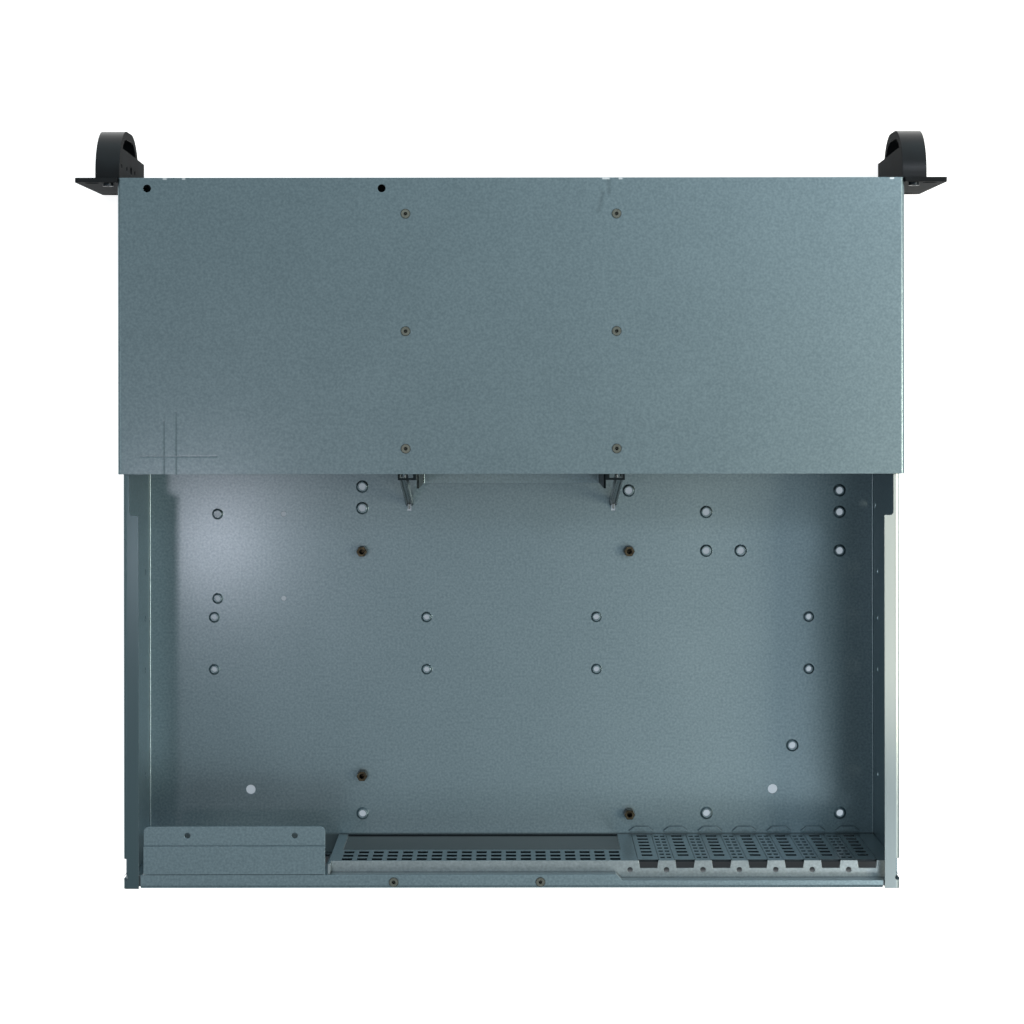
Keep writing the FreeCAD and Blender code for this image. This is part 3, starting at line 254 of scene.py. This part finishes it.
def pan_steel():
    """Zinc with a painted highlight on one flange, and painted shade on the other and on a strip."""
    material = new_material("galvanised_steel_pan")
    across, back, height = (along(material, axis) for axis in "XYZ")
    inside = SIDE - FLANGE - 1.1
    top = step(material, height, RIM - SHEET - 0.9, RIM - SHEET / 2)
    right = both(material, top, step(material, across, -inside, -inside - 1))
    left = both(material, top, step(material, across, inside, inside + 1))
    on_floor = step(material, height, SHADE_STRIP_HIGH + 4, SHADE_STRIP_HIGH)
    shaded_strip = both(material, step(material, back, WALL - 1.4, WALL + 0.6), on_floor)
    # Painted highlight on the right flange, brightest towards the front.
    flange_highlight = blend_colours(material, step(material, back, HIGHLIGHT_FULL_TO, HIGHLIGHT_FADED_FROM), "AEB6B4", "818D91")
    tint = zinc_tint(material, "6B7D85", "85979F")
    # Painted shade on the floor strip behind the recessed wall.
    tint = blend_colours(material, shaded_strip, tint, "5A6569")
    # Painted shade on the left flange.
    tint = blend_colours(material, left, tint, "53656B")
    tint = blend_colours(material, right, tint, flange_highlight)
    return finish_material(material, zinc(material, occlusion_shade(material, tint)))


PAN = pan_steel()
print("made", PAN.name, "with its recessed wall at", round(WALL, 1), "mm")

# %% [markdown]
# The rim's strip and the power supply's bracket are small pieces of the same sheet, with
# no marks of their own.


# %% Plain pieces
def plain_steel():
    """Zinc with nothing but its own clouds and speckle, and painted shade in its corners."""
    material = new_material("galvanised_steel")
    tint = zinc_tint(material, "6E8088", "869AA2")
    return finish_material(material, zinc(material, occlusion_shade(material, tint)))


STEEL = plain_steel()
print("made", STEEL.name)

# %% [markdown]
# The drive cage stands in the cover's shade. Its tray is plain zinc, and its upright
# walls and their top edges are painted near-black as that shade. A face's direction
# tells the two apart, together with its height.

# %% The cage's steel
TRAY = corners_mm("drive_cage")[0].z
# The colour of the painted shade in the corners of the cage and its legs.
DEEP_SHADE = "23292C"


def faces_along(material, axis):
    """1 on faces square to an axis, 0 on faces that run along it."""
    part = add(material, "SeparateXYZ", {0: add(material, "TexCoord").outputs["Normal"]}).outputs[axis]
    size = add(material, "Math", {0: part}, operation="ABSOLUTE").outputs[0]
    return between(material, size, 0, 1, 0.6, 0.95)


def cage_steel():
    """A zinc tray between walls painted dark as shade."""
    material = new_material("galvanised_steel_cage")
    low_down = step(material, along(material, "Z"), TRAY + 12, TRAY + 7)
    tray = both(material, faces_along(material, "Z"), low_down)
    # Painted shade: all but the low, level tray is painted near-black.
    tint = blend_colours(material, tray, "1E2427", zinc_tint(material, "6E8088", "869AA2"))
    return finish_material(material, zinc(material, occlusion_shade(material, tint, DEEP_SHADE), flat_share=0.1))


CAGE = cage_steel()
print("made", CAGE.name, "with its tray at", round(TRAY, 1), "mm")

# %% [markdown]
# The cage's two legs are raked strips of brighter zinc, with their sheared edges painted
# dark as shade, and a foot painted darker where it hooks into the floor. A bevel finds
# the edges: near one, the rounded direction of the surface differs from its own.

# %% The legs' steel
LEG_EDGE_SHADE = 1.1
FOOT = 3


def near_edge(material, reach_mm):
    """1 along the edges of a piece, 0 away from them."""
    own = add(material, "NewGeometry").outputs["Normal"]
    turned = add(material, "VectorMath", {0: rounded(material, reach_mm, samples=6), 1: own},
                 operation="DOT_PRODUCT")
    return between(material, turned.outputs["Value"], 0, 1, 0.98, 0.85)


def leg_steel():
    """Bright zinc between sheared edges painted dark as shade, with a foot painted darker."""
    material = new_material("galvanised_steel_leg")
    tint = zinc_tint(material, "98A2A4", "B4BCBD")
    # Painted shade: the sheared edges are painted dark, and the foot darker below.
    tint = blend_colours(material, near_edge(material, LEG_EDGE_SHADE), tint, "23282B")
    tint = blend_colours(material, step(material, along(material, "Z"), FOOT + 2, FOOT), tint, "3A4246")
    return finish_material(material, zinc(material, occlusion_shade(material, tint, DEEP_SHADE)))


LEG = leg_steel()
print("made", LEG.name)

# %% [markdown]
# The rear wall, its ledge and the slot blanks are a little paler and less blue than the pan;
# on the ledge the paleness is partly painted light. The sheet is coated before its vents
# and openings are cut, so their edges are bare steel. Those edges lie level, below the
# ledge, and are painted near-black: partly the bare steel, partly painted shade.

# %% The rear wall's steel
BLANK_TOP = corners_mm("slot_blank_1")[1].z


def rear_steel():
    """Pale zinc, partly painted light, with the level edges of its openings painted near-black, partly as
    shade.
    """
    material = new_material("galvanised_steel_rear")
    below_ledge = step(material, along(material, "Z"), BLANK_TOP + 0.9, BLANK_TOP - 0.1)
    # Painted shade: level edges below the ledge go near-black, darker than bare steel alone.
    punched_edges_and_shade = both(material, faces_along(material, "Z"), below_ledge)
    tint = blend_colours(material, punched_edges_and_shade, zinc_tint(material, "848F94", "9EA9AD"), "20262A")
    return finish_material(material, zinc(material, occlusion_shade(material, tint)))


WALL_STEEL = rear_steel()
print("made", WALL_STEEL.name, "with its blanks up to", round(BLANK_TOP, 1), "mm")

# %% [markdown]
# ## Marks on the cover
#
# The fixed cover has been handled. Near its rear left corner two fine lines run to the
# edge and one runs across them, all drawn by a tool. Right of the middle, a knock on the
# front edge has left a small crease, darkened with painted shade, with bright nicks beside
# it and a few more along the edge; the bright mark at the right end is a painted highlight.
# Each mark is a stroke between two places on the sheet. The function measures how close a
# point lies to the stroke, so one function serves lines, creases and nicks alike.


# %% Strokes at a place
def stroke(material, start, end, width_mm):
    """1 on a stroke between two places in millimetres, falling to 0 at its width."""
    place = add(material, "TexCoord").outputs["Object"]
    first, last = (Vector((*spot, 0)) * MM for spot in (start, end))
    whole = last - first
    flat = add(material, "VectorMath", {0: place, 1: (1, 1, 0)}, operation="MULTIPLY").outputs[0]
    offset = add(material, "VectorMath", {0: flat, 1: first}, operation="SUBTRACT").outputs[0]
    share = add(material, "VectorMath", {0: offset, 1: whole / whole.length_squared}, operation="DOT_PRODUCT")
    share = add(material, "Clamp", {"Value": share.outputs["Value"]}).outputs[0]
    foot = add(material, "VectorMath", {0: whole, "Scale": share}, operation="SCALE").outputs[0]
    gap = add(material, "VectorMath", {0: offset, 1: foot}, operation="DISTANCE").outputs["Value"]
    return step(material, gap, width_mm, 0)


def strongest(material, values):
    """The largest of several values."""
    best = values[0]
    for value in values[1:]:
        best = add(material, "Math", {0: best, 1: value}, operation="MAXIMUM").outputs[0]
    return best


def times(material, value, factor):
    """A value made stronger or weaker by a factor."""
    return add(material, "Math", {0: value, 1: factor}, operation="MULTIPLY").outputs[0]


# %% [markdown]
# The places are counted from the cover's own edges, across and along the case. A mark
# darkens the zinc and sinks into it a little; in the crease the darkening is painted shade.
# A nick is where the coating has come off, and there the bare steel is bright. The bright
# stroke at the right end of the front edge is a painted highlight, not a nick.

# %% Where the marks are
cover_low, cover_high = corners_mm("front_cover")
edge, front, rear = cover_high.x, cover_low.y, cover_high.y
FINE_LINES = [
    ((edge - 25.6, rear - 29.2), (edge - 25.6, rear)),
    ((edge - 32.3, rear - 34.2), (edge - 32.3, rear)),
    ((edge - 12.8, rear - 9.9), (edge - 54.8, rear - 9.9)),
]
CREASE = [
    ((-53.6, front + 2.4), (-53.9, front + 8.9)),
    ((-50.6, front + 8.9), (-48, front + 18.4)),
]
# The first span, at the right end of the front edge, is a painted highlight; the rest are nicks.
NICK_AND_GLINT_SPANS = [(-211.5, -210), (-61.3, -60), (-54.2, -50.9), (180.6, 181.6), (190.9, 192.3)]
NICK_AND_GLINT_STROKES = [((start, front + 0.6), (end, front + 0.6)) for start, end in NICK_AND_GLINT_SPANS]
FINE, WIDE = 0.8, 2.2
LINE_STRENGTH, CREASE_SHADE_STRENGTH = 0.3, 0.22
SUNK = 0.3
print("marks on the cover:", len(FINE_LINES) + len(CREASE) + len(NICK_AND_GLINT_STROKES))


# %% The cover's steel
def cover_steel():
    """Zinc with dark lines, a crease with painted shade, bright nicked spots and a painted highlight."""
    material = new_material("galvanised_steel_cover")
    lines = strongest(material, [stroke(material, *ends, FINE) for ends in FINE_LINES])
    # The crease's darkening is painted shade.
    crease = strongest(material, [stroke(material, *ends, WIDE) for ends in CREASE])
    nicks_and_glint = strongest(material, [stroke(material, *ends, FINE) for ends in NICK_AND_GLINT_STROKES])
    marks = strongest(material, [times(material, lines, LINE_STRENGTH),
                                 times(material, crease, CREASE_SHADE_STRENGTH)])
    tint = zinc_tint(material, "66777E", "7E9097")
    tint = blend_colours(material, marks, tint, "3E474C")
    tint = blend_colours(material, nicks_and_glint, tint, "DDE2E5")
    sunk = bump(material, times(material, marks, -1), 0.6, SUNK, rounded(material, FOLD))
    return finish_material(material, zinc(material, occlusion_shade(material, tint), sunk))


COVER = cover_steel()
print("made", COVER.name)

# %% [markdown]
# ## Black powder coat and black ABS
#
# The front panel is steel under a baked powder coat: a plastic skin with a fine
# orange-peel relief of about half a millimetre. The handles are injection-moulded ABS
# with a spark-eroded mould texture, a little glossier on the outside of the bends where
# hands rub it. Both are dielectrics, so metallic stays 0 and their index of refraction is
# the usual one, 1.5 for the coat and 1.54 for ABS. Both skins are dusty, which takes away
# more than half of the shine, so the specular level is 0.2 and not 0.5.

# %% Two blacks
SMEAR = 14
SKIN_EDGE = 0.5


def black_skin(name, dark, light, grain_mm, depth_mm, smooth, rough, ior):
    """A black plastic skin with a fine relief, duller on the faces that point sideways."""
    material = new_material(name)
    smears = between(material, grain(material, SMEAR, 3), 0, 1)
    dull = between(material, faces_along(material, "X"), smooth, rough, 0, 1)
    skin = bump(material, grain(material, grain_mm, 2), 0.5, depth_mm, rounded(material, SKIN_EDGE))
    shader = add(material, "BsdfPrincipled", {
        "Base Color": blend_colours(material, smears, dark, light), "Roughness": dull, "IOR": ior,
        "Specular IOR Level": 0.2, "Normal": skin})
    return finish_material(material, shader)


POWDER_COAT = black_skin("black_powder_coat", "0C0F12", "15191D", grain_mm=0.6, depth_mm=0.05,
                         smooth=0.82, rough=0.9, ior=1.5)
ABS = black_skin("black_abs", "080A0D", "0F1317", grain_mm=0.5, depth_mm=0.03,
                 smooth=0.3, rough=0.88, ior=1.54)
print("made", POWDER_COAT.name, "and", ABS.name)

# %% [markdown]
# ## Brass, rivets and screws
#
# The standoffs are turned from brass bar and have dulled to brown. The blind rivets are
# zinc-plated and yellow-passivated, which leaves a tan tint on a rough silver. The
# handles' screws are steel with a black oxide skin. All are small, so the painted shade on
# their edges and round them shows more than the metal itself.

# %% Small metals
TARNISH = 1.6
SMALL_EDGE_SHADE = 0.8


def small_metal(name, dark, light, smooth, rough):
    """A metal for small parts, tarnished in patches a millimetre or two wide, with painted shade on its edges
    and round it.
    """
    material = new_material(name)
    tarnish = grain(material, TARNISH, 3)
    tint = blend_colours(material, between(material, tarnish, 0, 1), dark, light)
    # Painted shade: the edges are painted dark.
    tint = blend_colours(material, near_edge(material, SMALL_EDGE_SHADE), tint, "24282A")
    shader = add(material, "BsdfPrincipled", {
        "Base Color": occlusion_shade(material, tint, "101214"), "Metallic": 1.0,
        "Roughness": between(material, tarnish, rough, smooth)})
    return finish_material(material, shader)


BRASS = small_metal("tarnished_brass", "2C2821", "625A49", smooth=0.3, rough=0.5)
RIVET = small_metal("passivated_rivet_steel", "74746C", "A3A398", smooth=0.16, rough=0.3)
SCREW = small_metal("blackened_screw_steel", "22262A", "3A4046", smooth=0.3, rough=0.45)
print("made", [metal.name for metal in (BRASS, RIVET, SCREW)])

# %% [markdown]
# ## Who wears what
#
# Each piece of the model gets one finish. The names on the left are those of the pieces,
# the slot blanks wear the rear wall's steel, and what else isn't named there is plain steel.

# %% Dress the pieces
FINISHES = {
    "chassis_base": PAN, "front_cover": COVER, "rear_panel": WALL_STEEL,
    "drive_cage": CAGE, "cage_leg_left": LEG, "cage_leg_right": LEG,
    "front_panel": POWDER_COAT, "handle_left": ABS, "handle_right": ABS,
    "standoffs": BRASS, "handle_screws": SCREW,
    "cover_rivets": RIVET, "rim_rivets": RIVET, "panel_rivets": RIVET,
}
for name, piece in nodes.items():
    finish = FINISHES.get(name, WALL_STEEL if name.startswith("slot_blank") else STEEL)
    piece.data.materials.clear()
    piece.data.materials.append(finish)
print("dressed:", len(nodes))

# %% [markdown]
# ## Floor
#
# The case rests on a plain white floor, large enough to reach past the picture from any
# side. The floor should read as white, yet keep the object's soft shadow, so part of its
# white is light of its own, which only the camera, metal and glass see, and the rest is
# light that falls on it. Under the case and close round it the floor is painted dark, a
# painted shadow, and its own light is weaker there. A little of that light shows through
# the holes of the pan as painted light, brighter to the rear and the right.

# %% Where the floor is clear of the case
FLOOR_SIZE = 30.0
BESIDE, BEHIND, AHEAD = (1, 14), (7, 18), (1, 7)


def clear_of_case(material, across, back):
    """1 on the open floor, 0 under the case; each pair is where the change starts and ends, from the pan."""
    sideways = add(material, "Math", {0: across}, operation="ABSOLUTE").outputs[0]
    return strongest(material, [
        step(material, sideways, *(SIDE + gap for gap in BESIDE)),
        step(material, back, *(REAR + gap for gap in BEHIND)),
        step(material, back, *(-REAR - gap for gap in AHEAD)),
    ])


def painted_glow_under_case(material, across, back):
    """Painted light under the case, more to the rear and the right, and painted shade with hardly any behind
    the wall.
    """
    rearward = between(material, back, 0.31, 0.47, -30 * MM, 140 * MM)
    rightward = between(material, across, 0.82, 1.2, 200 * MM, -200 * MM)
    behind_wall = step(material, back, WALL - 7.4, WALL - 1.4)
    return add(material, "Mix", {0: behind_wall, 2: times(material, rearward, rightward), 3: 0.02}).outputs[0]


# %% Floor
def white_floor():
    """White paint that keeps shadows and shows some white of its own, with a painted shadow under and round
    the case.
    """
    material = new_material("white_floor")
    across, back = along(material, "X"), along(material, "Y")
    clear = clear_of_case(material, across, back)
    # The glow under the case is painted light, and its weakness there painted shade.
    glow = add(material, "Mix", {0: clear, 2: painted_glow_under_case(material, across, back), 3: 0.85}).outputs[0]
    ray = add(material, "LightPath")
    seen_by = ("Is Camera Ray", "Is Glossy Ray", "Is Transmission Ray")
    seen = strongest(material, [ray.outputs[kind] for kind in seen_by])
    # Painted shadow: the paint is dark under the case and close round it.
    shader = add(material, "BsdfPrincipled", {
        "Base Color": blend_colours(material, clear, "202428", "C4C4C4"), "Roughness": 0.9,
        "Emission Color": blend_colours(material, clear, "E2F2FF", "FFFFFF"),
        "Emission Strength": times(material, glow, seen)})
    return finish_material(material, shader)


bpy.ops.mesh.primitive_plane_add(size=FLOOR_SIZE, location=(0, 0, low.z))
floor = bpy.context.object
floor.name = "floor"
floor.data.materials.append(white_floor())
print("floor, m:", FLOOR_SIZE)

# %% [markdown]
# ## Light
#
# Metal shows the room it stands in, so the room comes first. The world is dim all round,
# a little brighter overhead, and brightest low down in front of the case and to its
# right, as by a row of windows. How far a direction points towards the windows is its dot
# product with theirs, and the fourth power keeps the overhead light to the very top.

# %% World
EVERYWHERE = 0.25
OVERHEAD = 0.15
WINDOWS = (-0.5, -1.5, 0)

scene = bpy.context.scene
world = bpy.data.worlds.new("studio")
scene.world = world
world.use_nodes = True
world.node_tree.nodes.clear()
direction = add(world, "TexCoord").outputs["Generated"]
upward = add(world, "SeparateXYZ", {0: direction}).outputs["Z"]
overhead = add(world, "Math", {0: upward, 1: 4.0}, operation="POWER").outputs[0]
towards = add(world, "VectorMath", {0: direction, 1: WINDOWS}, operation="DOT_PRODUCT").outputs["Value"]
windows = add(world, "Math", {0: towards, 1: 0.0}, operation="MAXIMUM").outputs[0]
level = add(world, "Math", {0: overhead, 1: OVERHEAD, 2: windows}, operation="MULTIPLY_ADD").outputs[0]
level = add(world, "Math", {0: level, 1: EVERYWHERE}, operation="ADD").outputs[0]
room = add(world, "Background", {"Color": colour("EBFBFF"), "Strength": level})
add(world, "OutputWorld", {"Surface": room.outputs[0]})
print("room light, dimmest and brightest:", EVERYWHERE, round(EVERYWHERE + Vector(WINDOWS).length, 2))

# %% [markdown]
# Four soft panels and one small lamp are added, each turned towards the case. The small
# lamp on the left leaves the one bright spot on the pan's floor, and the broad panel on
# the right gives the steel its gentle slope from dark to light. Their tints are the warm
# and cool whites of real lamps.


# %% Lamps
def lamp(name, place, size, watts, tint):
    """A soft rectangular lamp that faces the case, with its width and height in metres."""
    light = bpy.data.lights.new(name, "AREA")
    light.shape = "RECTANGLE"
    light.size, light.size_y = size
    light.energy = watts
    light.color = colour(tint)[:3]
    fitting = bpy.data.objects.new(name, light)
    fitting.location = place
    fitting.rotation_euler = (-Vector(place)).to_track_quat("-Z", "Y").to_euler()
    scene.collection.objects.link(fitting)
    return fitting


PANEL = (0.6, 0.6)
lamps = [
    lamp("lamp_left", (0.316, 0.086, 1.083), (0.06, 0.06), 0.35, "FFE4E6"),
    lamp("softbox_front_right", (-0.69, -0.59, 1.5), (0.28, 0.10), 4.0, "EEF4FF"),
    lamp("panel_right", (-1.3, 0.1, 1.4), PANEL, 21, "FFF2DA"),
    lamp("panel_left", (1.3, 0.1, 1.4), PANEL, 2.5, "FFFFFF"),
    lamp("panel_rear_right", (-0.8, 0.7, 1.8), PANEL, 5.2, "FFFFFF"),
]
print("lamps:", len(lamps))

# %% [markdown]
# ## Camera
#
# The camera hangs about 1.34 m above the case and looks straight down, with the rear of
# the case at the bottom of the picture. A small shift brings the case to the middle.

# %% Camera
CAMERA_PLACE = (-0.44, -84.61, 1341)
CAMERA_TURN = 179.935
LENS = 79.7
SHIFT = -0.1286

camera_data = bpy.data.cameras.new("camera")
camera_data.sensor_width = 36
camera_data.lens = LENS
camera_data.shift_y = SHIFT
camera = bpy.data.objects.new("camera", camera_data)
camera.location = Vector(CAMERA_PLACE) * MM
camera.rotation_euler = (0, 0, math.radians(CAMERA_TURN))
scene.collection.objects.link(camera)
scene.camera = camera
print("camera, m above the floor:", round(camera.location.z, 3))

# %% [markdown]
# ## Close the scene
#
# Colours are shown as they are, with no film look, and the boxes before and after are
# written down, to see that no finish has made the object grow.

# %% View settings and sizes
scene.view_settings.view_transform = "Standard"
